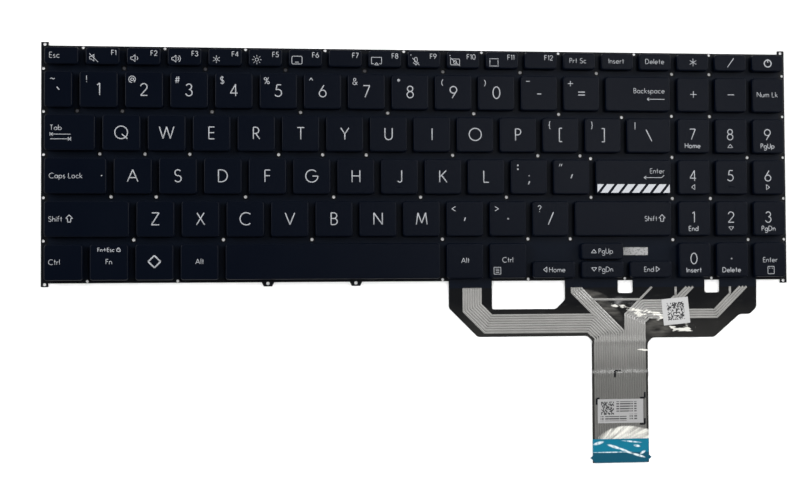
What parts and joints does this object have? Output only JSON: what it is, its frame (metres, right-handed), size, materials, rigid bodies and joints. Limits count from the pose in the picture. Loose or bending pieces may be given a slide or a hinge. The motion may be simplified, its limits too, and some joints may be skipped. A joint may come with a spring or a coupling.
{
  "type": "laptop replacement keyboard",
  "caption": "Slim laptop keyboard module: flat keys on scissor links and rubber domes over a stamped plate, with a number pad and a printed film ending in a long connector tail.",
  "frame": {"origin": "centre of the base plate's underside, which is the centre of its four corner stake holes", "axes": "+X along the key rows towards the number pad, +Y towards the function row, +Z out of the keys"},
  "size_m": [0.3284, 0.184, 0.0041],
  "materials": {
    "keycap": "matte",
    "plate": "satin",
    "film": "gloss",
    "stiffener": "gloss",
    "sticker": "matte",
    "dome": "satin",
    "link": "satin",
    "wire": "satin"
  },
  "bodies": {
    "frame": {"arrow_and_side_keys": "keycap", "base_plate": "plate", "circuit_film": "film", "film_sticker": "sticker", "function_row_keys": "keycap", "number_pad_keys": "keycap", "plate_sticker": "sticker", "punctuation_keys": "keycap", "rubber_domes": "dome", "scissor_inner_frames": "link", "scissor_outer_frames": "link", "stabilizer_bars": "wire", "tail_label": "sticker", "tail_stiffener": "stiffener"},
    "keycap_0": {"keycap_0": "keycap"},
    "keycap_1": {"keycap_1": "keycap"},
    "keycap_2": {"keycap_2": "keycap"},
    "keycap_3": {"keycap_3": "keycap"},
    "keycap_4": {"keycap_4": "keycap"},
    "keycap_5": {"keycap_5": "keycap"},
    "keycap_6": {"keycap_6": "keycap"},
    "keycap_7": {"keycap_7": "keycap"},
    "keycap_8": {"keycap_8": "keycap"},
    "keycap_9": {"keycap_9": "keycap"},
    "keycap_a": {"keycap_a": "keycap"},
    "keycap_b": {"keycap_b": "keycap"},
    "keycap_backspace": {"keycap_backspace": "keycap"},
    "keycap_c": {"keycap_c": "keycap"},
    "keycap_caps_lock": {"keycap_caps_lock": "keycap"},
    "keycap_d": {"keycap_d": "keycap"},
    "keycap_e": {"keycap_e": "keycap"},
    "keycap_enter": {"keycap_enter": "keycap"},
    "keycap_esc": {"keycap_esc": "keycap"},
    "keycap_f": {"keycap_f": "keycap"},
    "keycap_g": {"keycap_g": "keycap"},
    "keycap_h": {"keycap_h": "keycap"},
    "keycap_i": {"keycap_i": "keycap"},
    "keycap_j": {"keycap_j": "keycap"},
    "keycap_k": {"keycap_k": "keycap"},
    "keycap_l": {"keycap_l": "keycap"},
    "keycap_left_alt": {"keycap_left_alt": "keycap"},
    "keycap_left_ctrl": {"keycap_left_ctrl": "keycap"},
    "keycap_left_shift": {"keycap_left_shift": "keycap"},
    "keycap_m": {"keycap_m": "keycap"},
    "keycap_n": {"keycap_n": "keycap"},
    "keycap_o": {"keycap_o": "keycap"},
    "keycap_p": {"keycap_p": "keycap"},
    "keycap_q": {"keycap_q": "keycap"},
    "keycap_r": {"keycap_r": "keycap"},
    "keycap_right_shift": {"keycap_right_shift": "keycap"},
    "keycap_s": {"keycap_s": "keycap"},
    "keycap_space": {"keycap_space": "keycap"},
    "keycap_t": {"keycap_t": "keycap"},
    "keycap_tab": {"keycap_tab": "keycap"},
    "keycap_u": {"keycap_u": "keycap"},
    "keycap_v": {"keycap_v": "keycap"},
    "keycap_w": {"keycap_w": "keycap"},
    "keycap_x": {"keycap_x": "keycap"},
    "keycap_y": {"keycap_y": "keycap"},
    "keycap_z": {"keycap_z": "keycap"}
  },
  "joints": [
    {"name": "press_0", "type": "slide", "parent": "frame", "child": "keycap_0", "axis": [0, 0, -1], "range_m": [0, 0.0014], "stiffness_N_per_m": 300, "springref_m": -0.0005, "deforming": ["rubber_domes", "scissor_outer_frames", "scissor_inner_frames"]},
    {"name": "press_1", "type": "slide", "parent": "frame", "child": "keycap_1", "axis": [0, 0, -1], "range_m": [0, 0.0014], "stiffness_N_per_m": 300, "springref_m": -0.0005, "deforming": ["rubber_domes", "scissor_outer_frames", "scissor_inner_frames"]},
    {"name": "press_2", "type": "slide", "parent": "frame", "child": "keycap_2", "axis": [0, 0, -1], "range_m": [0, 0.0014], "stiffness_N_per_m": 300, "springref_m": -0.0005, "deforming": ["rubber_domes", "scissor_outer_frames", "scissor_inner_frames"]},
    {"name": "press_3", "type": "slide", "parent": "frame", "child": "keycap_3", "axis": [0, 0, -1], "range_m": [0, 0.0014], "stiffness_N_per_m": 300, "springref_m": -0.0005, "deforming": ["rubber_domes", "scissor_outer_frames", "scissor_inner_frames"]},
    {"name": "press_4", "type": "slide", "parent": "frame", "child": "keycap_4", "axis": [0, 0, -1], "range_m": [0, 0.0014], "stiffness_N_per_m": 300, "springref_m": -0.0005, "deforming": ["rubber_domes", "scissor_outer_frames", "scissor_inner_frames"]},
    {"name": "press_5", "type": "slide", "parent": "frame", "child": "keycap_5", "axis": [0, 0, -1], "range_m": [0, 0.0014], "stiffness_N_per_m": 300, "springref_m": -0.0005, "deforming": ["rubber_domes", "scissor_outer_frames", "scissor_inner_frames"]},
    {"name": "press_6", "type": "slide", "parent": "frame", "child": "keycap_6", "axis": [0, 0, -1], "range_m": [0, 0.0014], "stiffness_N_per_m": 300, "springref_m": -0.0005, "deforming": ["rubber_domes", "scissor_outer_frames", "scissor_inner_frames"]},
    {"name": "press_7", "type": "slide", "parent": "frame", "child": "keycap_7", "axis": [0, 0, -1], "range_m": [0, 0.0014], "stiffness_N_per_m": 300, "springref_m": -0.0005, "deforming": ["rubber_domes", "scissor_outer_frames", "scissor_inner_frames"]},
    {"name": "press_8", "type": "slide", "parent": "frame", "child": "keycap_8", "axis": [0, 0, -1], "range_m": [0, 0.0014], "stiffness_N_per_m": 300, "springref_m": -0.0005, "deforming": ["rubber_domes", "scissor_outer_frames", "scissor_inner_frames"]},
    {"name": "press_9", "type": "slide", "parent": "frame", "child": "keycap_9", "axis": [0, 0, -1], "range_m": [0, 0.0014], "stiffness_N_per_m": 300, "springref_m": -0.0005, "deforming": ["rubber_domes", "scissor_outer_frames", "scissor_inner_frames"]},
    {"name": "press_a", "type": "slide", "parent": "frame", "child": "keycap_a", "axis": [0, 0, -1], "range_m": [0, 0.0014], "stiffness_N_per_m": 300, "springref_m": -0.0005, "deforming": ["rubber_domes", "scissor_outer_frames", "scissor_inner_frames"]},
    {"name": "press_b", "type": "slide", "parent": "frame", "child": "keycap_b", "axis": [0, 0, -1], "range_m": [0, 0.0014], "stiffness_N_per_m": 300, "springref_m": -0.0005, "deforming": ["rubber_domes", "scissor_outer_frames", "scissor_inner_frames"]},
    {"name": "press_backspace", "type": "slide", "parent": "frame", "child": "keycap_backspace", "axis": [0, 0, -1], "range_m": [0, 0.0014], "stiffness_N_per_m": 300, "springref_m": -0.0005, "deforming": ["rubber_domes", "scissor_outer_frames", "scissor_inner_frames", "stabilizer_bars"]},
    {"name": "press_c", "type": "slide", "parent": "frame", "child": "keycap_c", "axis": [0, 0, -1], "range_m": [0, 0.0014], "stiffness_N_per_m": 300, "springref_m": -0.0005, "deforming": ["rubber_domes", "scissor_outer_frames", "scissor_inner_frames"]},
    {"name": "press_caps_lock", "type": "slide", "parent": "frame", "child": "keycap_caps_lock", "axis": [0, 0, -1], "range_m": [0, 0.0014], "stiffness_N_per_m": 300, "springref_m": -0.0005, "deforming": ["rubber_domes", "scissor_outer_frames", "scissor_inner_frames", "stabilizer_bars"]},
    {"name": "press_d", "type": "slide", "parent": "frame", "child": "keycap_d", "axis": [0, 0, -1], "range_m": [0, 0.0014], "stiffness_N_per_m": 300, "springref_m": -0.0005, "deforming": ["rubber_domes", "scissor_outer_frames", "scissor_inner_frames"]},
    {"name": "press_e", "type": "slide", "parent": "frame", "child": "keycap_e", "axis": [0, 0, -1], "range_m": [0, 0.0014], "stiffness_N_per_m": 300, "springref_m": -0.0005, "deforming": ["rubber_domes", "scissor_outer_frames", "scissor_inner_frames"]},
    {"name": "press_enter", "type": "slide", "parent": "frame", "child": "keycap_enter", "axis": [0, 0, -1], "range_m": [0, 0.0014], "stiffness_N_per_m": 300, "springref_m": -0.0005, "deforming": ["rubber_domes", "scissor_outer_frames", "scissor_inner_frames", "stabilizer_bars"]},
    {"name": "press_esc", "type": "slide", "parent": "frame", "child": "keycap_esc", "axis": [0, 0, -1], "range_m": [0, 0.0014], "stiffness_N_per_m": 300, "springref_m": -0.0005, "deforming": ["rubber_domes", "scissor_outer_frames", "scissor_inner_frames"]},
    {"name": "press_f", "type": "slide", "parent": "frame", "child": "keycap_f", "axis": [0, 0, -1], "range_m": [0, 0.0014], "stiffness_N_per_m": 300, "springref_m": -0.0005, "deforming": ["rubber_domes", "scissor_outer_frames", "scissor_inner_frames"]},
    {"name": "press_g", "type": "slide", "parent": "frame", "child": "keycap_g", "axis": [0, 0, -1], "range_m": [0, 0.0014], "stiffness_N_per_m": 300, "springref_m": -0.0005, "deforming": ["rubber_domes", "scissor_outer_frames", "scissor_inner_frames"]},
    {"name": "press_h", "type": "slide", "parent": "frame", "child": "keycap_h", "axis": [0, 0, -1], "range_m": [0, 0.0014], "stiffness_N_per_m": 300, "springref_m": -0.0005, "deforming": ["rubber_domes", "scissor_outer_frames", "scissor_inner_frames"]},
    {"name": "press_i", "type": "slide", "parent": "frame", "child": "keycap_i", "axis": [0, 0, -1], "range_m": [0, 0.0014], "stiffness_N_per_m": 300, "springref_m": -0.0005, "deforming": ["rubber_domes", "scissor_outer_frames", "scissor_inner_frames"]},
    {"name": "press_j", "type": "slide", "parent": "frame", "child": "keycap_j", "axis": [0, 0, -1], "range_m": [0, 0.0014], "stiffness_N_per_m": 300, "springref_m": -0.0005, "deforming": ["rubber_domes", "scissor_outer_frames", "scissor_inner_frames"]},
    {"name": "press_k", "type": "slide", "parent": "frame", "child": "keycap_k", "axis": [0, 0, -1], "range_m": [0, 0.0014], "stiffness_N_per_m": 300, "springref_m": -0.0005, "deforming": ["rubber_domes", "scissor_outer_frames", "scissor_inner_frames"]},
    {"name": "press_l", "type": "slide", "parent": "frame", "child": "keycap_l", "axis": [0, 0, -1], "range_m": [0, 0.0014], "stiffness_N_per_m": 300, "springref_m": -0.0005, "deforming": ["rubber_domes", "scissor_outer_frames", "scissor_inner_frames"]},
    {"name": "press_left_alt", "type": "slide", "parent": "frame", "child": "keycap_left_alt", "axis": [0, 0, -1], "range_m": [0, 0.0014], "stiffness_N_per_m": 300, "springref_m": -0.0005, "deforming": ["rubber_domes", "scissor_outer_frames", "scissor_inner_frames"]},
    {"name": "press_left_ctrl", "type": "slide", "parent": "frame", "child": "keycap_left_ctrl", "axis": [0, 0, -1], "range_m": [0, 0.0014], "stiffness_N_per_m": 300, "springref_m": -0.0005, "deforming": ["rubber_domes", "scissor_outer_frames", "scissor_inner_frames"]},
    {"name": "press_left_shift", "type": "slide", "parent": "frame", "child": "keycap_left_shift", "axis": [0, 0, -1], "range_m": [0, 0.0014], "stiffness_N_per_m": 300, "springref_m": -0.0005, "deforming": ["rubber_domes", "scissor_outer_frames", "scissor_inner_frames", "stabilizer_bars"]},
    {"name": "press_m", "type": "slide", "parent": "frame", "child": "keycap_m", "axis": [0, 0, -1], "range_m": [0, 0.0014], "stiffness_N_per_m": 300, "springref_m": -0.0005, "deforming": ["rubber_domes", "scissor_outer_frames", "scissor_inner_frames"]},
    {"name": "press_n", "type": "slide", "parent": "frame", "child": "keycap_n", "axis": [0, 0, -1], "range_m": [0, 0.0014], "stiffness_N_per_m": 300, "springref_m": -0.0005, "deforming": ["rubber_domes", "scissor_outer_frames", "scissor_inner_frames"]},
    {"name": "press_o", "type": "slide", "parent": "frame", "child": "keycap_o", "axis": [0, 0, -1], "range_m": [0, 0.0014], "stiffness_N_per_m": 300, "springref_m": -0.0005, "deforming": ["rubber_domes", "scissor_outer_frames", "scissor_inner_frames"]},
    {"name": "press_p", "type": "slide", "parent": "frame", "child": "keycap_p", "axis": [0, 0, -1], "range_m": [0, 0.0014], "stiffness_N_per_m": 300, "springref_m": -0.0005, "deforming": ["rubber_domes", "scissor_outer_frames", "scissor_inner_frames"]},
    {"name": "press_q", "type": "slide", "parent": "frame", "child": "keycap_q", "axis": [0, 0, -1], "range_m": [0, 0.0014], "stiffness_N_per_m": 300, "springref_m": -0.0005, "deforming": ["rubber_domes", "scissor_outer_frames", "scissor_inner_frames"]},
    {"name": "press_r", "type": "slide", "parent": "frame", "child": "keycap_r", "axis": [0, 0, -1], "range_m": [0, 0.0014], "stiffness_N_per_m": 300, "springref_m": -0.0005, "deforming": ["rubber_domes", "scissor_outer_frames", "scissor_inner_frames"]},
    {"name": "press_right_shift", "type": "slide", "parent": "frame", "child": "keycap_right_shift", "axis": [0, 0, -1], "range_m": [0, 0.0014], "stiffness_N_per_m": 300, "springref_m": -0.0005, "deforming": ["rubber_domes", "scissor_outer_frames", "scissor_inner_frames", "stabilizer_bars"]},
    {"name": "press_s", "type": "slide", "parent": "frame", "child": "keycap_s", "axis": [0, 0, -1], "range_m": [0, 0.0014], "stiffness_N_per_m": 300, "springref_m": -0.0005, "deforming": ["rubber_domes", "scissor_outer_frames", "scissor_inner_frames"]},
    {"name": "press_space", "type": "slide", "parent": "frame", "child": "keycap_space", "axis": [0, 0, -1], "range_m": [0, 0.0014], "stiffness_N_per_m": 300, "springref_m": -0.0005, "deforming": ["rubber_domes", "scissor_outer_frames", "scissor_inner_frames", "stabilizer_bars"]},
    {"name": "press_t", "type": "slide", "parent": "frame", "child": "keycap_t", "axis": [0, 0, -1], "range_m": [0, 0.0014], "stiffness_N_per_m": 300, "springref_m": -0.0005, "deforming": ["rubber_domes", "scissor_outer_frames", "scissor_inner_frames"]},
    {"name": "press_tab", "type": "slide", "parent": "frame", "child": "keycap_tab", "axis": [0, 0, -1], "range_m": [0, 0.0014], "stiffness_N_per_m": 300, "springref_m": -0.0005, "deforming": ["rubber_domes", "scissor_outer_frames", "scissor_inner_frames"]},
    {"name": "press_u", "type": "slide", "parent": "frame", "child": "keycap_u", "axis": [0, 0, -1], "range_m": [0, 0.0014], "stiffness_N_per_m": 300, "springref_m": -0.0005, "deforming": ["rubber_domes", "scissor_outer_frames", "scissor_inner_frames"]},
    {"name": "press_v", "type": "slide", "parent": "frame", "child": "keycap_v", "axis": [0, 0, -1], "range_m": [0, 0.0014], "stiffness_N_per_m": 300, "springref_m": -0.0005, "deforming": ["rubber_domes", "scissor_outer_frames", "scissor_inner_frames"]},
    {"name": "press_w", "type": "slide", "parent": "frame", "child": "keycap_w", "axis": [0, 0, -1], "range_m": [0, 0.0014], "stiffness_N_per_m": 300, "springref_m": -0.0005, "deforming": ["rubber_domes", "scissor_outer_frames", "scissor_inner_frames"]},
    {"name": "press_x", "type": "slide", "parent": "frame", "child": "keycap_x", "axis": [0, 0, -1], "range_m": [0, 0.0014], "stiffness_N_per_m": 300, "springref_m": -0.0005, "deforming": ["rubber_domes", "scissor_outer_frames", "scissor_inner_frames"]},
    {"name": "press_y", "type": "slide", "parent": "frame", "child": "keycap_y", "axis": [0, 0, -1], "range_m": [0, 0.0014], "stiffness_N_per_m": 300, "springref_m": -0.0005, "deforming": ["rubber_domes", "scissor_outer_frames", "scissor_inner_frames"]},
    {"name": "press_z", "type": "slide", "parent": "frame", "child": "keycap_z", "axis": [0, 0, -1], "range_m": [0, 0.0014], "stiffness_N_per_m": 300, "springref_m": -0.0005, "deforming": ["rubber_domes", "scissor_outer_frames", "scissor_inner_frames"]}
  ]
}
